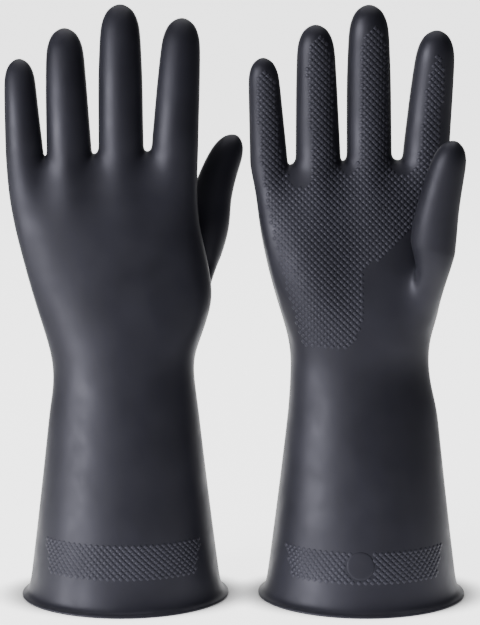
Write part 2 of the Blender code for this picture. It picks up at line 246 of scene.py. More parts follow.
# The grip's studs, set in rows on the palm and the cuff.
STUD_PITCH = 0.0035  # between studs in a row
STUD_ROW = 0.0017  # between rows, which are staggered by half a pitch
STUD_HALF = 0.00152
STUD_HEIGHT = 0.00058
STUD_SUNK = 0.00022  # the studs' feet lie this deep in the film
STUD_RINGS = ((1.0, 0.0), (0.88, 0.50), (0.52, 0.86))  # half width and height, of a unit stud
STUD_SIDE = 0.80  # how far its flat sides reach, where its corners reach 1
STUD_SIDES = 8
UNEVENNESS = 0.10  # of the studs' heights
STUD_SEED = 7
STEEPEST = 0.40  # cosine between a stud's line and the film's outward direction, at the least
WELL_OUTSIDE = 0.2  # farther out than any part of a glove

# The right-hand glove's grip, across and above its rim in millimetres: from the heel of the hand up
# the little finger's side, round each finger, and down past the thumb's mound.
GRIP_OUTLINE = (
    (-31.5, 144.5), (-34.5, 147.5), (-36.5, 152.0), (-39.5, 166.0), (-43.5, 178.0), (-49.0, 200.0),
    (-53.0, 216.5), (-56.0, 238.5), (-58.0, 252.0), (-59.0, 275.0), (-59.3, 288.0), (-58.0, 294.0),
    (-54.5, 296.5), (-51.0, 294.0), (-49.5, 288.0), (-48.0, 272.5), (-46.2, 252.0), (-43.5, 238.5),
    (-38.0, 231.5), (-32.5, 231.5), (-29.0, 238.5), (-30.0, 252.0), (-31.5, 275.0), (-32.5, 296.0),
    (-31.0, 308.0), (-25.5, 313.0), (-20.0, 308.0), (-18.0, 299.0), (-17.0, 279.0), (-16.5, 252.0),
    (-16.0, 242.5), (-10.5, 238.5), (-6.0, 240.0), (-3.2, 249.5), (-3.4, 275.0), (-4.0, 300.0),
    (-2.0, 313.0), (3.8, 319.0), (9.0, 314.0), (12.0, 300.0), (12.8, 272.5), (12.8, 249.5),
    (15.0, 240.0), (18.0, 238.5), (23.5, 238.5), (27.8, 244.0), (30.0, 258.5), (32.5, 286.0),
    (34.8, 298.0), (38.5, 304.5), (41.5, 298.0), (41.3, 279.0), (40.5, 254.0), (38.8, 244.0),
    (37.5, 233.0), (33.5, 220.5), (28.0, 212.5), (18.0, 203.0), (7.0, 193.5), (-0.5, 188.0),
    (-1.5, 183.5), (-0.8, 170.0), (-3.0, 156.0), (-6.0, 148.5), (-9.5, 144.5),
)

PALM_REACH = (-0.062, 0.045, 0.144, 0.321)  # across and up, a little past the outline

# The left-hand glove's webs are higher than the outline's, so its grip is lifted by as much. The
# lift grows over a stretch of the palm, and goes again below the fingertips.
LIFT_FROM = 0.170
LIFT_GROWS = 0.060
LIFT_TO = 0.312
LIFT_GOES = 0.040

# The cuff's band: its lowest and highest rows, and how far round from the front each reaches.
BAND = {"left": (0.0205, 0.0385), "right": (0.0185, 0.0355)}
BAND_HALF_TURN = (50, 61)  # degrees, at the lowest row and the highest
BAND_STUDS = 20  # to each side of the front, more than the turn takes in

# The blank size disc: its rings are (radius, height over the film, as a share of DISC_PROUD).
DISC_CENTRE = (-0.0028, 0.0275)
DISC_RADIUS = 0.0075
DISC_PROUD = 0.00016
DISC_MARGIN = 0.0010
DISC_SIDES = 48
DISC_RINGS = ((0.0, 1), (0.0035, 1), (0.0062, 1), (0.0072, 0.95), (DISC_RADIUS, 0.4), (DISC_RADIUS, -1))

# ---------------------------------------------------------------- colours, light and view

BLACK_RUBBER = (0.0085, 0.0085, 0.0120), (0.0120, 0.0120, 0.0168)
# A paler copy of the black rubber for the studs: a painted highlight that makes the grip read bright.
PAINTED_HIGHLIGHT_RUBBER = (0.0150, 0.0150, 0.0208), (0.0200, 0.0200, 0.0275)
SATIN = (0.43, 0.53)  # least and greatest roughness
SPECULAR = 0.28
SHEEN_TINT = (0.86, 0.85, 1.0)
RUBBER_IOR = 1.46

# The unevenness of the rubber: noises (scale, detail) and bumps (strength, distance).
NOISE_SPAN = (0.35, 0.65)  # where most of a noise's values lie
CLOUDS = (26, 3)  # in the colour
PATCHES = (70, 4)  # in the sheen
GRAIN = (1500, 2)
WAVES = (45, 2)
GRAIN_BUMP = (0.25, 0.00006)
WAVES_BUMP = (0.35, 0.0004)

# The floor's glow is painted light, a pool of light that grows from front to back, fades to the sides
# of the view's wedge (across over distance), and fades out towards each glove's foot (from the oval
# SHADE_HALF outwards) into a painted contact shadow.
FLOOR_SIZE = 90
FLOOR_PALE = 0.9
FLOOR_GLOW = 2.6
FLOOR_DIM = 0.14
GLOW_GROWS = (-0.40, -0.06)
GLOW_SIDES = (0.32, 0.15)
SHADE_HALF = (0.062, 0.044)
SHADE_FADES = (0.92, 1.30)
ROOM_LIGHT = 0.06
BRIGHT_WALL = (0.80, 0.92)  # the share of straight back, from where it starts to where it is full

# Each light: name, place, aim, size and power.
LIGHTS = (
    ("key", (-1.35, -0.85, 0.22), (0, 0, 0.14), (0.8, 0.9), 64),
    ("top", (0.0, 0.5, 2.4), (0, 0.1, 0), (2.6, 2.6), 50),
    ("fill", (-0.9, -1.6, 0.70), (0, 0, 0.16), (0.9, 1.2), 6),
)

CAMERA_DISTANCE = 1.20
CAMERA_HEIGHT = 0.345
CAMERA_AIM = 0.1605
CAMERA_SHIFT = -0.0019  # across, from the middle between the gloves
VIEW_HEIGHT = 0.346875  # from the view's lower edge to its upper edge, where the gloves stand
SENSOR = 24.0


def lerp(a, b, t):
    return a + (b - a) * t


def smooth(t):
    t = min(1.0, max(0.0, t))
    return t * t * (3 - 2 * t)


def along_table(table, x):
    """Reads a table of (x, value...) rows at x, straight between rows."""
    rows = sorted(table)
    if x <= rows[0][0]:
        return rows[0][1:]
    for low, high in zip(rows, rows[1:]):
        if x <= high[0]:
            t = (x - low[0]) / (high[0] - low[0])
            return tuple(lerp(a, b, t) for a, b in zip(low[1:], high[1:]))
    return rows[-1][1:]


# ---------------------------------------------------------------- the cuff's rings


def cuff_half(height):
    """Half width and half depth of the gauntlet at this height."""
    t = height / WRIST
    flare = t + CUFF_FLARE * t * (1 - t)
    width = lerp(MOUTH_HALF_WIDTH, WRIST_HALF_WIDTH, flare)
    return width, lerp(MOUTH_HALF_DEPTH, WRIST_HALF_DEPTH, flare)


def even_shares():
    """Where a ring's front columns lie across it, from -1 to 1, on a plain oval."""
    step = math.pi / (FRONT_COLUMNS + 1)
    return [-math.cos(step * (i + 1)) for i in range(FRONT_COLUMNS)]


def ring_of(shares, middle, half_width, palm, back, height, power=OVAL):
    """26 points: 12 across the palm, the thumb side, 12 across the back, the little side."""
    front, rear = [], []
    for u in shares:
        bulge = (1 - abs(u) ** power) ** (1 / power)
        front.append(Vector((middle + half_width * u, -palm * bulge, height)))
        rear.append(Vector((middle + half_width * u, back * bulge, height)))
    sides = Vector((middle + half_width, 0, height)), Vector((middle - half_width, 0, height))
    return front + [sides[0]] + rear[::-1] + [sides[1]]


def cuff_ring(height, beyond):
    """A ring of the gauntlet, this far outside its cone."""
    a, b = cuff_half(height)
    a, b = (a + beyond) / RING_SHRINK, (b + beyond) / RING_SHRINK
    return ring_of(even_shares(), 0, a, b, b, height)


# ---------------------------------------------------------------- the hand's rings


def knuckle_columns(glove):
    """Where the hand's front columns lie across it at the knuckles: three for each finger."""
    places = []
    for finger, (base, _) in zip(FINGERS, glove.bases):
        reach = finger.half_width / FINGER_SHRINK * math.sqrt(0.5)
        places += [base - reach, base, base + reach]
    return places


def hand_ring(glove, row):
    """A ring of the hand at one row of its outline."""
    height, little, index = row
    palm, back = along_table(HAND_DEPTH, height)
    low, high = -little / RING_SHRINK, index / RING_SHRINK
    middle, half = (low + high) / 2, (high - low) / 2
    along = smooth((height - KNUCKLES_FROM) / KNUCKLES_OVER)
    shares = []
    for share, place in zip(even_shares(), knuckle_columns(glove)):
        at_knuckle = (place - middle) / half
        shares.append(max(-EDGE_COLUMN, min(EDGE_COLUMN, lerp(share, at_knuckle, along))))
    ring = ring_of(shares, middle, half, palm, back, height, lerp(OVAL, SQUARER, along))
    return [sculpt(glove, p) for p in ring]


def bump(x, z, swelling):
    """How far a swelling stands out at this place."""
    cx, cz, wide, high, out = swelling
    return out * math.exp(-(((x - cx) / wide) ** 2) - ((z - cz) / high) ** 2)


def sculpt(glove, p):
    """Presses the palm's mounds, and the dips between the knuckles, into a point of the hand."""
    if p.y < 0:
        facing = min(1.0, -p.y / PALM_FACING)
        p.y -= facing * sum(bump(p.x, p.z, s) for s in PALM_SWELLINGS)
    below, *size = WEB_DIP
    for (x, web), (after, _) in zip(glove.bases, glove.bases[1:]):
        dip = bump(p.x, p.z, ((x + after) / 2, web - below, *size))
        if abs(p.y) > WEB_DIP_FROM:
            p.y -= math.copysign(dip, p.y)
    return p


# ---------------------------------------------------------------- fingers


def loop_round(centre, along, across, half_width, half_depth):
    """Eight points round a centre: front left, front, front right, right and so on."""
    side = (across - along * across.dot(along)).normalized()
    back = along.cross(side)
    points = []
    for turn in LOOP_TURNS:
        points.append(centre + side * half_width * math.cos(turn) + back * half_depth * math.sin(turn))
    return points


class Line:
    """A finger's centre line, with the way its pad faces."""

    def __init__(self, base, tip, finger, pad, across):
        self.base = Vector(base)
        reach = Vector(tip) - self.base
        self.finger = finger
        self.curl = reach.dot(pad) * pad
        self.straight = reach - self.curl
        self.length = self.straight.length
        self.across = Vector(across)

    def point(self, t):
        return self.base + self.straight * t + self.curl * t * t

    def direction(self, t):
        return (self.straight + self.curl * 2 * t).normalized()

    def half_width(self, t):
        f = self.finger
        return along_table(((0, f.half_width), (0.5, f.mid_width), (1, f.tip_width)), t)[0]

    def ring(self, t, scale=1.0):
        half = self.half_width(t) / FINGER_SHRINK * scale
        return loop_round(self.point(t), self.direction(t), self.across, half, half * FLATNESS)


def finger_lines(glove):
    """The four fingers' lines, from the little finger on, and the thumb's."""
    lines = []
    for finger, (base, web), (tip, top) in zip(FINGERS, glove.bases, glove.tips):
        lines.append(Line((base, 0, web), (tip, -CURL, top), finger, Vector((0, -1, 0)), (1, 0, 0)))
    _, knuckle, tip = glove.thumb
    lines.append(Line(knuckle, tip, THUMB, THUMB_PAD, THUMB_ACROSS))
    return lines


def knuckle_loop(line):
    """A finger's eight points at the web: low at the front and back, high at the sides."""
    half = line.finger.half_width / FINGER_SHRINK
    loop = []
    for i, turn in enumerate(LOOP_TURNS):
        drop = KNUCKLE_DROP[i % 4]
        flat = FLATNESS * (KNUCKLE_CORNER if i % 2 == 0 else 1.0)
        loop.append(line.base + Vector((half * math.cos(turn), half * flat * math.sin(turn), -drop)))
    return loop


def finger_stations(line):
    """Where the rings of a finger lie along it, and their scale: up to the seam, and after it."""
    length = line.length
    end = END_LENGTH * line.finger.tip_width
    start = length - end
    below = THUMB_RINGS if line.finger is THUMB else FINGER_RINGS
    seam = below[-1]
    count = max(2, round((start - seam) / RING_STEP))
    above = [lerp(seam, start, (i + 1) / count) for i in range(count)]
    low = [(s / length, 1.0) for s in below]
    high = [(s / length, 1.0) for s in above]
    high += [((start + end * into) / length, width) for into, width in ROUND_END]
    return low, high


# ---------------------------------------------------------------- the skin's cage


class Cage:
    """A coarse mesh of quads whose faces know the piece that they belong to."""

    def __init__(self):
        self.bm = bmesh.new()

    def points(self, places):
        return [self.bm.verts.new(p) for p in places]

    def quad(self, a, b, c, d, piece):
        face = self.bm.faces.new((a, b, c, d))
        face.material_index = piece
        face.smooth = True

    def band(self, low, high, piece, skip=()):
        for i in range(len(low)):
            j = (i + 1) % len(low)
            if i not in skip:
                self.quad(low[i], low[j], high[j], high[i], piece)

    def cap(self, loop, top, piece):
        """Four quads round a middle point close a loop of eight."""
        middle = self.bm.verts.new(top)
        for i in (0, 2, 4, 6):
            self.quad(loop[i], loop[i + 1], loop[(i + 2) % 8], middle, piece)


def thumb_root_loops(glove, line):
    """The thumb's root on the hand, up to the seam with its base length."""
    root = Vector(glove.thumb[0])
    top = line.point(0) - line.direction(0) * THUMB_ROOT_TOP
    loops = []
    for share, swell in THUMB_ROOT_LOOPS:
        centre = root.lerp(top, share) + THUMB_ROOT_SHIFT * (1 - share)
        along = THUMB_ROOT_TILT.lerp(line.direction(0), share).normalized()
        half = THUMB.half_width / FINGER_SHRINK * swell
        loops.append(loop_round(centre, along, THUMB_ACROSS, half, half))
    return loops


def join_fingers(cage, ring, loops):
    """Joins the hand's top ring to the finger loops, with a web between neighbours."""
    back = len(ring) - 2
    for k, loop in enumerate(loops):
        f = 3 * k
        for i in range(2):
            cage.quad(ring[f + i], ring[f + i + 1], loop[i + 1], loop[i], HAND)
            cage.quad(ring[back - f - i - 1], ring[back - f - i], loop[6 - i], loop[5 - i], HAND)
        if k < 3:
            after = loops[k + 1]
            cage.quad(ring[f + 2], ring[f + 3], after[0], loop[2], HAND)
            cage.quad(ring[back - f - 3], ring[back - f - 2], loop[4], after[6], HAND)
            cage.quad(loop[2], after[0], after[7], loop[3], HAND)
            cage.quad(loop[3], after[7], after[6], loop[4], HAND)
    first, last = loops[0], loops[-1]
    index_side, little_side = ring[FRONT_COLUMNS], ring[-1]
    cage.quad(ring[FRONT_COLUMNS - 1], index_side, last[3], last[2], HAND)
    cage.quad(index_side, ring[FRONT_COLUMNS + 1], last[4], last[3], HAND)
    cage.quad(ring[back], little_side, first[7], first[6], HAND)
    cage.quad(little_side, ring[0], first[0], first[7], HAND)


def add_finger(cage, loop, line):
    """A finger's rings above its loop, closed by a cap."""
    piece = PIECES.index(f"{line.finger.name}_base")
    low, high = finger_stations(line)
    for t, scale in low:
        ring = cage.points(line.ring(t, scale))
        cage.band(loop, ring, piece)
        loop = ring
    for t, scale in high:
        ring = cage.points(line.ring(t, scale))
        cage.band(loop, ring, piece + 1)
        loop = ring
    cage.cap(loop, line.point(1.0) + line.direction(1.0) * TIP_OVER, piece + 1)


def build_cage(glove):
    """The whole glove: the cuff's two walls and lip, the hand's rings, the fingers and the thumb."""
    cage = Cage()
    rows = [(z, -FILM) for z in INNER_WALL] + list(LIP) + [(z, 0.0) for z in OUTER_WALL]
    rings = [cage.points(cuff_ring(z, beyond)) for z, beyond in rows]
    for low, high in zip(rings, rings[1:]):
        cage.band(low, high, CUFF)
    hand = [rings[-1]] + [cage.points(hand_ring(glove, row)) for row in glove.outline]
    left, right = THUMB_COLUMNS
    for i, (low, high) in enumerate(zip(hand, hand[1:])):
        hole = range(left, right) if THUMB_ROWS[0] < i <= THUMB_ROWS[1] else ()
        cage.band(low, high, HAND, hole)
    lines = finger_lines(glove)
    loops = [cage.points(knuckle_loop(line)) for line in lines[:4]]
    join_fingers(cage, hand[-1], loops)
    for loop, line in zip(loops, lines):
        add_finger(cage, loop, line)
    low, mid, high = (hand[1 + THUMB_ROWS[0] + i] for i in range(3))
    middle = left + 1
    loop = [low[left], low[middle], low[right], mid[right], high[right], high[middle], high[left], mid[left]]
    for points in thumb_root_loops(glove, lines[4]):
        ring = cage.points(points)
        cage.band(loop, ring, HAND)
        loop = ring
    add_finger(cage, loop, lines[4])
    loose = [v for v in cage.bm.verts if not v.link_faces]
    bmesh.ops.delete(cage.bm, geom=loose, context="VERTS")  # the middle of the thumb's hole
    return cage.bm


# ---------------------------------------------------------------- from cage to pieces


def in_place(glove, point):
    """From a glove's own palm-forward frame to where the glove stands."""
    side = -1 if glove.palm > 0 else 1
    return Vector((point.x, side * point.y, point.z))


def glove_centre(glove):
    return JOINTS[f"{glove.name}_wrist"]["pos_m"][0]


def smooth_skin(glove):
    """The whole skin, smoothed and in place. Returns points, normals, quads and each quad's piece."""
    bm = build_cage(glove)
    for v in bm.verts:
        if glove.palm > 0:
            v.co.y = -v.co.y
        v.co.x += glove_centre(glove)
    if glove.palm > 0:
        bmesh.ops.reverse_faces(bm, faces=bm.faces)
    mesh = bpy.data.meshes.new("cage")
    bm.to_mesh(mesh)
    bm.free()
    for _ in PIECES:
        mesh.materials.append(None)  # so that the piece numbers last through the smoothing
    obj = bpy.data.objects.new("cage", mesh)
    bpy.context.scene.collection.objects.link(obj)
    modifier = obj.modifiers.new("Smooth", "SUBSURF")
    modifier.levels = modifier.render_levels = SMOOTHING
    graph = bpy.context.evaluated_depsgraph_get()
    fine = bpy.data.meshes.new_from_object(obj.evaluated_get(graph))
    soften(fine, in_place(glove, THUMB_VALLEY) + Vector((glove_centre(glove), 0, 0)))
    points = np.empty(len(fine.vertices) * 3)
    fine.vertices.foreach_get("co", points)
    normals = np.array([n.vector for n in fine.vertex_normals])
    quads = np.array([p.vertices[:] for p in fine.polygons])
    pieces = np.array([p.material_index for p in fine.polygons])
    bpy.data.objects.remove(obj)
    return points.reshape(-1, 3), normals, quads, pieces


def soften(mesh, centre):
    """Fills the sharp valley between the thumb's root and the palm by evening out the points there."""
    points = np.empty(len(mesh.vertices) * 3)
    mesh.vertices.foreach_get("co", points)
    points = points.reshape(-1, 3)
    edges = np.empty(len(mesh.edges) * 2, dtype=int)
    mesh.edges.foreach_get("vertices", edges)
    others = edges.reshape(-1, 2)[:, ::-1].ravel()
    near = np.linalg.norm(points - np.array(centre), axis=1) / VALLEY_REACH
    weight = np.clip(VALLEY_CORE * (1 - near), 0, 1)[:, None] * VALLEY_STRENGTH
    neighbours = np.bincount(edges, minlength=len(points))[:, None]
    for _ in range(VALLEY_ROUNDS):
        swapped = points[others]
        total = [np.bincount(edges, swapped[:, axis], len(points)) for axis in range(3)]
        points += (np.transpose(total) / neighbours - points) * weight
    mesh.vertices.foreach_set("co", points.ravel())
    mesh.update()


def border_edges(quads):
    """The directed edges that only one quad has."""
    seen = {}
    for quad in quads:
        for a, b in zip(quad, np.roll(quad, -1)):
            seen[(int(a), int(b))] = True
    return [(a, b) for a, b in seen if (b, a) not in seen]


def piece_object(name, points, normals, quads, close):
    """One length of film with its own thickness: outside, inside and the cut edges between.

    An offset length gets its inside here. A bridged one has both walls, and only its edges are joined.
    """
    used = np.unique(quads)
    renumber = {int(v): i for i, v in enumerate(used)}
    outer = [[renumber[int(v)] for v in quad] for quad in quads]
    places, facing = points[used], normals[used]
    rims = []
    if close == "offset":
        count = len(used)
        faces = outer + [[v + count for v in reversed(quad)] for quad in outer]
        for a, b in border_edges(np.array(outer)):
            rims.append([b, a, a + count, b + count])
        places = np.vstack([places, places - facing * FILM])
        facing = np.vstack([facing, -facing])
    else:
        faces = outer
        rims = bridge(border_edges(np.array(outer)), places)
    mesh = bpy.data.meshes.new(name)
    mesh.from_pydata(places.tolist(), [], faces + rims)
    mesh.shade_smooth()
    loops = []
    for i, polygon in enumerate(mesh.polygons):
        flat = i >= len(faces)
        for v in polygon.vertices:
            loops.append(polygon.normal[:] if flat else facing[v])
    mesh.normals_split_custom_set(loops)
    obj = bpy.data.objects.new(name, mesh)
    bpy.context.scene.collection.objects.link(obj)
    return obj


def bridge(edges, places):
    """Joins a piece's two border loops, which have the same points round the same centre."""
    after = dict(edges)
    loops = []
    while after:
        start = next(iter(after))
        loop, v = [start], after.pop(start)
        while v != start:
            loop.append(v)
            v = after.pop(v)
        loops.append(loop)
    one, two = loops
    size = len(one)
    start = two.index(min(two, key=lambda v: np.linalg.norm(places[v] - places[one[0]])))
    quads = []
    for i in range(size):
        a, b = one[i], one[(i + 1) % size]
        c, d = two[(start - i) % size], two[(start - i - 1) % size]
        quads.append([b, a, c, d])
    return quads


def finger_joints(glove, finger):
    """A finger's knuckle, its middle crease, and the way from one to the other."""
    base = Vector(JOINTS[joint_name(glove, finger, "base")]["pos_m"])
    tip = Vector(JOINTS[joint_name(glove, finger, "tip")]["pos_m"])
    return base, tip, (tip - base).normalized()


def joint_name(glove, finger, part):
    if finger == "thumb":
        return f"{glove.name}_thumb_{'root' if part == 'base' else 'crease'}"
    return f"{glove.name}_{finger}_{'knuckle' if part == 'base' else 'middle_crease'}"


def move_with_glove(obj, glove, piece):
    """Attaches a cuff piece, or the grip on it, to its glove's cuff; any other piece is left where it was
    built.
    """
    cuff, hand = f"{glove.name}_cuff", f"{glove.name}_hand"
    if piece == "cuff":
        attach(obj, cuff)
        return
    x = glove_centre(glove)
    if piece == "hand":
        start, end = ((x, 0, height) for height in WRIST_FOLD)
        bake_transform(obj)
        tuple(start)
        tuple(end)
        return
    finger, part = piece.rsplit("_", 1)
    base, tip, along = finger_joints(glove, finger)
    if part == "base":
        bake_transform(obj)
        return
    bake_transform(obj)


# ---------------------------------------------------------------- grip


def inside_outline(x, z, outline):
    """Whether a point is inside a closed outline: its row crosses the outline an odd number of times."""
    inside = False
    for (x0, z0), (x1, z1) in zip(outline, outline[1:] + outline[:1]):
        if (z0 > z) != (z1 > z) and x < x0 + (z - z0) / (z1 - z0) * (x1 - x0):
            inside = not inside
    return inside


def to_outline(glove, x, z):
    """A point of this glove, in the millimetres of the outline."""
    own = [base for base, _ in glove.bases]
    other = [base for base, _ in GLOVES[1].bases]
    moved = x + float(np.interp(x, own, np.subtract(other, own)))
    rise = glove.bases[1][1] - GLOVES[1].bases[1][1]
    lifted = z - rise * smooth((z - LIFT_FROM) / LIFT_GROWS) * smooth((LIFT_TO - z) / LIFT_GOES)
    return moved * 1000, lifted * 1000


def lattice(left, right, low, high):
    """Staggered rows of points."""
    for row in range(math.ceil((high - low) / STUD_ROW)):
        x = left + STUD_PITCH / 2 * (row % 2)
        while x < right:
            yield x, low + row * STUD_ROW
            x += STUD_PITCH


def palm_places(glove):
    """Lines from inside the hand out through its palm, one for each stud."""
    for x, z in lattice(*PALM_REACH):
        if inside_outline(*to_outline(glove, x, z), GRIP_OUTLINE):
            yield Vector((x, 0, z)), Vector((0, -1, 0))


def band_places(glove):
    """Lines out from the cuff's middle, evenly round its oval, to the front and the back."""
    low, high = BAND[glove.name]
    half_width, half_depth = cuff_half((low + high) / 2)
    length = 0
    turns, lengths = [0.0], [0.0]
    for i in range(360):
        turn = math.radians(i / 4)
        speed = math.hypot(half_width * math.cos(turn), half_depth * math.sin(turn))
        length += speed * math.radians(0.25)
        turns.append(math.radians((i + 1) / 4))
        lengths.append(length)
    for side in (-1, 1):
        for s, z in lattice(-BAND_STUDS * STUD_PITCH, BAND_STUDS * STUD_PITCH, low, high):
            turn = math.copysign(float(np.interp(abs(s), lengths, turns)), s)
            reach = lerp(*BAND_HALF_TURN, (z - low) / (high - low))
            x, y = half_width * math.sin(turn), side * half_depth * math.cos(turn)
            with_disc = glove.name == "right" and side < 0
            off = Vector((x, z)) - Vector(DISC_CENTRE)
            if abs(turn) > math.radians(reach) or with_disc and off.length < DISC_RADIUS + DISC_MARGIN:
                continue
            yield Vector((0, 0, z)), Vector((x, y, 0)).normalized()


def skin_tree(points, quads):
    return BVHTree.FromPolygons(points.tolist(), quads.tolist())


def stud_places(glove, tree, pieces, places, allowed):
    """Where each line leaves the film, as point and outward direction, listed by piece."""
    found = {}
    centre = Vector((glove_centre(glove), 0, 0))
    for start, way in places:
        way = in_place(glove, way)
        point, normal, face, _ = tree.ray_cast(in_place(glove, start) + centre, way)
        if point is None:
            continue
        piece = PIECES[pieces[face]]
        if piece in allowed and normal.dot(way) > STEEPEST:
            found.setdefault(piece, []).append((point, normal))
    return found


def stud_mesh():
    """A stud of unit half width and unit height: a four-sided pyramid with soft edges."""
    bm = bmesh.new()
    rings = []
    for size, height in STUD_RINGS:
        ring = []
        for i in range(STUD_SIDES):
            turn = 2 * math.pi * i / STUD_SIDES
            reach = size * (1.0 if i % 2 == 0 else STUD_SIDE)
            ring.append(bm.verts.new((reach * math.cos(turn), reach * math.sin(turn), height)))
        rings.append(ring)
    for low, high in zip(rings, rings[1:]):
        for i in range(STUD_SIDES):
            j = (i + 1) % STUD_SIDES
            bm.faces.new((low[i], low[j], high[j], high[i]))
    top = bm.verts.new((0, 0, 1.0))
    for i in range(STUD_SIDES):
        bm.faces.new((rings[-1][i], rings[-1][(i + 1) % STUD_SIDES], top))
    bm.faces.new(rings[0][::-1])
    for face in bm.faces:
        face.smooth = True
    mesh = bpy.data.meshes.new("stud")
    bm.to_mesh(mesh)
    bm.free()
    return mesh


def stud_tree(material):
    """The nodes that set a stud on every point, square to the film."""
    tree = bpy.data.node_groups.new("grip_studs", "GeometryNodeTree")
    socket = tree.interface.new_socket
    socket("Places", in_out="INPUT", socket_type="NodeSocketGeometry")
    socket("Stud", in_out="INPUT", socket_type="NodeSocketObject")
    for name, value in (("Half Width", STUD_HALF), ("Height", STUD_HEIGHT), ("Unevenness", UNEVENNESS)):
        socket(name, in_out="INPUT", socket_type="NodeSocketFloat").default_value = value
    socket("Seed", in_out="INPUT", socket_type="NodeSocketInt").default_value = STUD_SEED
    socket("Grip", in_out="OUTPUT", socket_type="NodeSocketGeometry")
    nodes, links = tree.nodes, tree.links
    given, result = nodes.new("NodeGroupInput"), nodes.new("NodeGroupOutput")
    stud = nodes.new("GeometryNodeObjectInfo")
    links.new(given.outputs["Stud"], stud.inputs["Object"])
    outward = nodes.new("GeometryNodeInputNamedAttribute")
    outward.data_type = "FLOAT_VECTOR"
    outward.inputs["Name"].default_value = "outward"
    facing = nodes.new("FunctionNodeAxesToRotation")
    facing.primary_axis, facing.secondary_axis = "Z", "Y"
    facing.inputs["Secondary Axis"].default_value = (0, 0, 1)
    links.new(outward.outputs["Attribute"], facing.inputs["Primary Axis"])
    spread = nodes.new("ShaderNodeMath")
    spread.operation = "SUBTRACT"
    spread.inputs[0].default_value = 1.0
    links.new(given.outputs["Unevenness"], spread.inputs[1])
    vary = nodes.new("FunctionNodeRandomValue")
    vary.data_type = "FLOAT"
    low, high = [s for s in vary.inputs if s.name in ("Min", "Max") and s.type == "VALUE"][:2]
    high.default_value = 1.0
    links.new(spread.outputs[0], low)
    links.new(given.outputs["Seed"], vary.inputs["Seed"])
    height = nodes.new("ShaderNodeMath")
    height.operation = "MULTIPLY"
    links.new(given.outputs["Height"], height.inputs[0])
    links.new([s for s in vary.outputs if s.type == "VALUE"][0], height.inputs[1])
    scale = nodes.new("ShaderNodeCombineXYZ")
    links.new(given.outputs["Half Width"], scale.inputs["X"])
    links.new(given.outputs["Half Width"], scale.inputs["Y"])
    links.new(height.outputs[0], scale.inputs["Z"])
    spots = nodes.new("GeometryNodeInstanceOnPoints")
    links.new(given.outputs["Places"], spots.inputs["Points"])
    links.new(stud.outputs["Geometry"], spots.inputs["Instance"])
    links.new(facing.outputs["Rotation"], spots.inputs["Rotation"])
    links.new(scale.outputs[0], spots.inputs["Scale"])
    real = nodes.new("GeometryNodeRealizeInstances")
    links.new(spots.outputs["Instances"], real.inputs["Geometry"])
    coat = nodes.new("GeometryNodeSetMaterial")
    coat.inputs["Material"].default_value = material
    links.new(real.outputs["Geometry"], coat.inputs["Geometry"])
    links.new(coat.outputs["Geometry"], result.inputs["Grip"])
    return tree


def grip_object(name, places, tree, stud):
    """One mesh of studs, set on these points of the film."""
    mesh = bpy.data.meshes.new("places")
    mesh.from_pydata([point - normal * STUD_SUNK for point, normal in places], [], [])
    outward = mesh.attributes.new("outward", "FLOAT_VECTOR", "POINT")
    outward.data.foreach_set("vector", np.array([normal for _, normal in places]).ravel())
    spots = bpy.data.objects.new("places", mesh)
    bpy.context.scene.collection.objects.link(spots)
    modifier = spots.modifiers.new("Grip", "NODES")
    modifier.node_group = tree
    inputs = {item.name: item.identifier for item in tree.interface.items_tree if item.in_out == "INPUT"}
    modifier[inputs["Stud"]] = stud
    graph = bpy.context.evaluated_depsgraph_get()
    studs = bpy.data.meshes.new_from_object(spots.evaluated_get(graph))
    bpy.data.objects.remove(spots)
    if "outward" in studs.attributes:
        studs.attributes.remove(studs.attributes["outward"])
    obj = bpy.data.objects.new(name, studs)
    bpy.context.scene.collection.objects.link(obj)
    return obj


def make_grip(glove, skin, tree, stud):
    """The studs of the palm and fingers, and of the cuff's band."""
    points, _, quads, pieces = skin
    shape = skin_tree(points, quads)
    palm = {"hand"} | {p for p in PIECES if p.endswith(("_base", "_tip")) and not p.startswith("thumb")}
    found = stud_places(glove, shape, pieces, palm_places(glove), palm)
    found["cuff"] = band_studs(glove, shape)
    for piece, places in found.items():
        obj = grip_object(f"{glove.name}_{piece}_grip", places, tree, stud)
        move_with_glove(obj, glove, piece)


def band_studs(glove, shape):
    """The band's lines would meet the cuff's inner wall first, so they are cast from outside."""
    found = []
    centre = Vector((glove_centre(glove), 0, 0))
    for start, way in band_places(glove):
        way = in_place(glove, way)
        start = in_place(glove, start) + centre
        point, normal, _, _ = shape.ray_cast(start + way * WELL_OUTSIDE, -way)
        if point is not None:
            found.append((point, normal))
    return found


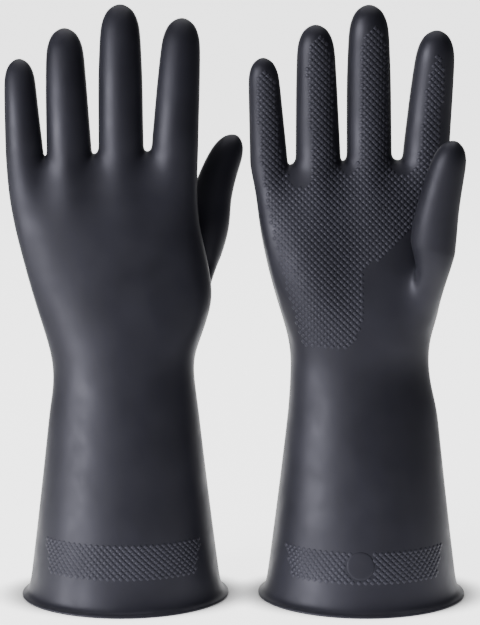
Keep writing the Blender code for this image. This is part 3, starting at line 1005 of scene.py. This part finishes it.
def make_disc(glove, shape, material):
    """The blank size disc: a thin round patch that lies on the film, in the band's middle."""
    bm = bmesh.new()
    centre = Vector((glove_centre(glove), 0, 0))
    rings = []
    for radius, rise in DISC_RINGS:
        ring = []
        for i in range(DISC_SIDES if radius else 1):
            turn = 2 * math.pi * i / DISC_SIDES
            x, z = DISC_CENTRE[0] + radius * math.cos(turn), DISC_CENTRE[1] + radius * math.sin(turn)
            start = centre + Vector((x, -WELL_OUTSIDE, z))
            point, normal, _, _ = shape.ray_cast(start, Vector((0, 1, 0)))
            ring.append(bm.verts.new(point + normal * (rise * DISC_PROUD)))
        rings.append(ring)
    for i in range(DISC_SIDES):
        bm.faces.new((rings[0][0], rings[1][i], rings[1][(i + 1) % DISC_SIDES]))
    for low, high in zip(rings[1:], rings[2:]):
        for i in range(DISC_SIDES):
            j = (i + 1) % DISC_SIDES
            bm.faces.new((low[i], high[i], high[j], low[j]))
    under = bm.verts.new(rings[0][0].co + Vector((0, 2 * DISC_PROUD, 0)))
    for i in range(DISC_SIDES):
        bm.faces.new((under, rings[-1][(i + 1) % DISC_SIDES], rings[-1][i]))
    bmesh.ops.recalc_face_normals(bm, faces=bm.faces)
    mesh = bpy.data.meshes.new("disc")
    bm.to_mesh(mesh)
    bm.free()
    mesh.shade_smooth()
    mesh.materials.append(material)
    obj = bpy.data.objects.new(f"{glove.name}_size_disc", mesh)
    bpy.context.scene.collection.objects.link(obj)
    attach(obj, f"{glove.name}_cuff")


# ---------------------------------------------------------------- materials


def noise_node(nodes, links, where, scale, detail):
    noise = nodes.new("ShaderNodeTexNoise")
    noise.inputs["Scale"].default_value = scale
    noise.inputs["Detail"].default_value = detail
    links.new(where.outputs["Object"], noise.inputs["Vector"])
    return noise


def ramp_node(nodes, links, source, low, high):
    """Turns a noise into a value between low and high."""
    ramp = nodes.new("ShaderNodeMapRange")
    ramp.inputs["From Min"].default_value, ramp.inputs["From Max"].default_value = NOISE_SPAN
    ramp.inputs["To Min"].default_value, ramp.inputs["To Max"].default_value = low, high
    links.new(source.outputs["Fac"], ramp.inputs["Value"])
    return ramp


def bump_node(nodes, links, source, strength, distance):
    node = nodes.new("ShaderNodeBump")
    node.inputs["Strength"].default_value = strength
    node.inputs["Distance"].default_value = distance
    links.new(source.outputs["Fac"], node.inputs["Height"])
    return node


def rubber_material(name, dark, pale):
    """Dipped black rubber: a satin skin, faintly uneven in colour, sheen and surface."""
    material = bpy.data.materials.new(name)
    material.use_nodes = True
    nodes, links = material.node_tree.nodes, material.node_tree.links
    shader = nodes["Principled BSDF"]
    where = nodes.new("ShaderNodeTexCoord")
    cloudy = noise_node(nodes, links, where, *CLOUDS)
    mix = nodes.new("ShaderNodeMix")
    mix.data_type = "RGBA"
    colours = [s for s in mix.inputs if s.type == "RGBA"]
    colours[0].default_value, colours[1].default_value = (*dark, 1), (*pale, 1)
    share = ramp_node(nodes, links, cloudy, 0.0, 1.0)
    links.new(share.outputs["Result"], mix.inputs[0])
    links.new([s for s in mix.outputs if s.type == "RGBA"][0], shader.inputs["Base Color"])
    patchy = noise_node(nodes, links, where, *PATCHES)
    sheen = ramp_node(nodes, links, patchy, *SATIN)
    links.new(sheen.outputs["Result"], shader.inputs["Roughness"])
    shader.inputs["IOR"].default_value = RUBBER_IOR
    shader.inputs["Specular IOR Level"].default_value = SPECULAR
    shader.inputs["Specular Tint"].default_value = (*SHEEN_TINT, 1)
    grain = noise_node(nodes, links, where, *GRAIN)
    waves = noise_node(nodes, links, where, *WAVES)
    fine = bump_node(nodes, links, grain, *GRAIN_BUMP)
    broad = bump_node(nodes, links, waves, *WAVES_BUMP)
    links.new(broad.outputs["Normal"], fine.inputs["Normal"])
    links.new(fine.outputs["Normal"], shader.inputs["Normal"])
    return material


# ---------------------------------------------------------------- the pair


def make_glove(glove, rubber, studs, stud):
    """All of a glove's pieces: the lengths of its film, its grip and, on the right hand, its disc."""
    skin = smooth_skin(glove)
    points, normals, quads, pieces = skin
    for number, piece in enumerate(PIECES):
        chosen = quads[pieces == number]
        close = "bridge" if piece == "cuff" else "offset"
        obj = piece_object(f"{glove.name}_{piece}_film", points, normals, chosen, close)
        obj.data.materials.append(rubber)
        move_with_glove(obj, glove, piece)
        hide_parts(*(f"{glove.name}_{node}" for node in NODES_OF.get(piece, (piece,))))
    make_grip(glove, skin, studs, stud)
    if glove.name == "right":
        make_disc(glove, skin_tree(points, quads), rubber)


# ---------------------------------------------------------------- stage, light and camera


def soft_light(name, place, aim, size, power):
    data = bpy.data.lights.new(name, "AREA")
    data.shape = "RECTANGLE"
    data.size, data.size_y = size
    data.energy = power
    obj = bpy.data.objects.new(name, data)
    bpy.context.scene.collection.objects.link(obj)
    obj.location = place
    obj.rotation_euler = (Vector(aim) - Vector(place)).to_track_quat("-Z", "Y").to_euler()


def math_node(nodes, links, operation, *values):
    """One step of arithmetic on sockets and numbers. Returns its socket."""
    node = nodes.new("ShaderNodeMath")
    node.operation = operation
    for socket, value in zip(node.inputs, values):
        if isinstance(value, (int, float)):
            socket.default_value = value
        else:
            links.new(value, socket)
    return node.outputs[0]


def fade(nodes, links, value, start, end):
    """0 at start, 1 at end, and smooth between."""
    node = nodes.new("ShaderNodeMapRange")
    node.interpolation_type = "SMOOTHSTEP"
    node.inputs["From Min"].default_value, node.inputs["From Max"].default_value = start, end
    links.new(value, node.inputs["Value"])
    return node.outputs["Result"]


def build_floor():
    """A pale floor with a painted pool of light behind the gloves, dimmer before them, and painted shadow
    round their rims.
    """
    bpy.ops.mesh.primitive_plane_add(size=FLOOR_SIZE)
    floor = bpy.context.object
    floor.name = "floor"
    material = bpy.data.materials.new("pale_floor")
    material.use_nodes = True
    nodes, links = material.node_tree.nodes, material.node_tree.links
    shader = nodes["Principled BSDF"]
    shader.inputs["Base Color"].default_value = (FLOOR_PALE, FLOOR_PALE, FLOOR_PALE, 1)
    shader.inputs["Roughness"].default_value = 0.7
    shader.inputs["Specular IOR Level"].default_value = 0.1
    shader.inputs["Emission Color"].default_value = (1, 1, 1, 1)
    where = nodes.new("ShaderNodeTexCoord")
    split = nodes.new("ShaderNodeSeparateXYZ")
    links.new(where.outputs["Object"], split.inputs["Vector"])
    # painted light: the floor glows most behind the gloves and within the view's wedge
    behind = fade(nodes, links, split.outputs["Y"], *GLOW_GROWS)
    right = math_node(nodes, links, "ABSOLUTE", split.outputs["X"])
    reach = math_node(nodes, links, "ADD", split.outputs["Y"], CAMERA_DISTANCE)
    beside = fade(nodes, links, math_node(nodes, links, "DIVIDE", right, reach), *GLOW_SIDES)
    glow = math_node(nodes, links, "MULTIPLY", behind, beside)
    glow = math_node(nodes, links, "MULTIPLY_ADD", glow, FLOOR_GLOW, FLOOR_DIM)
    # painted contact shadow: the glow fades out round each glove's foot
    deep = math_node(nodes, links, "DIVIDE", split.outputs["Y"], SHADE_HALF[1])
    for glove in GLOVES:
        wide = math_node(nodes, links, "SUBTRACT", split.outputs["X"], glove_centre(glove))
        wide = math_node(nodes, links, "DIVIDE", wide, SHADE_HALF[0])
        squares = [math_node(nodes, links, "MULTIPLY", side, side) for side in (wide, deep)]
        away = math_node(nodes, links, "SQRT", math_node(nodes, links, "ADD", *squares))
        outside_painted_shadow = fade(nodes, links, away, *SHADE_FADES)
        glow = math_node(nodes, links, "MULTIPLY", glow, outside_painted_shadow)
    links.new(glow, shader.inputs["Emission Strength"])
    floor.data.materials.append(material)
    floor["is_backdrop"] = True


def build_room():
    """A dim room with a bright wall behind the gloves, and three soft lights."""
    world = bpy.data.worlds.new("studio")
    bpy.context.scene.world = world
    world.use_nodes = True
    nodes, links = world.node_tree.nodes, world.node_tree.links
    where = nodes.new("ShaderNodeTexCoord")
    split = nodes.new("ShaderNodeSeparateXYZ")
    links.new(where.outputs["Generated"], split.inputs["Vector"])
    behind = fade(nodes, links, split.outputs["Y"], *BRIGHT_WALL)
    strength = math_node(nodes, links, "MULTIPLY_ADD", behind, FLOOR_GLOW, ROOM_LIGHT)
    background = nodes["Background"]
    background.inputs["Color"].default_value = (1, 1, 1, 1)
    links.new(strength, background.inputs["Strength"])
    for light in LIGHTS:
        soft_light(*light)


def build_camera():
    data = bpy.data.cameras.new("camera")
    camera = bpy.data.objects.new("camera", data)
    bpy.context.scene.collection.objects.link(camera)
    data.sensor_fit = "VERTICAL"
    data.sensor_height = SENSOR
    middle = sum(glove_centre(glove) for glove in GLOVES) / 2 + CAMERA_SHIFT
    camera.location = (middle, -CAMERA_DISTANCE, CAMERA_HEIGHT)
    towards = Vector((middle, 0, CAMERA_AIM)) - camera.location
    camera.rotation_euler = towards.to_track_quat("-Z", "Y").to_euler()
    data.lens = SENSOR * math.hypot(CAMERA_DISTANCE, CAMERA_HEIGHT - CAMERA_AIM) / VIEW_HEIGHT
    bpy.context.scene.camera = camera


rubber = rubber_material("black_rubber", *BLACK_RUBBER)
# The studs take the paler copy of the rubber, a painted highlight.
studs = stud_tree(rubber_material("grip_rubber", *PAINTED_HIGHLIGHT_RUBBER))
stud = bpy.data.objects.new("stud", stud_mesh())
bpy.context.scene.collection.objects.link(stud)
for glove in GLOVES:
    make_glove(glove, rubber, studs, stud)
bpy.data.objects.remove(stud)
build_floor()
build_room()
build_camera()
[[list(corner) for corner in bounds] for bounds in (packed_bounds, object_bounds())]
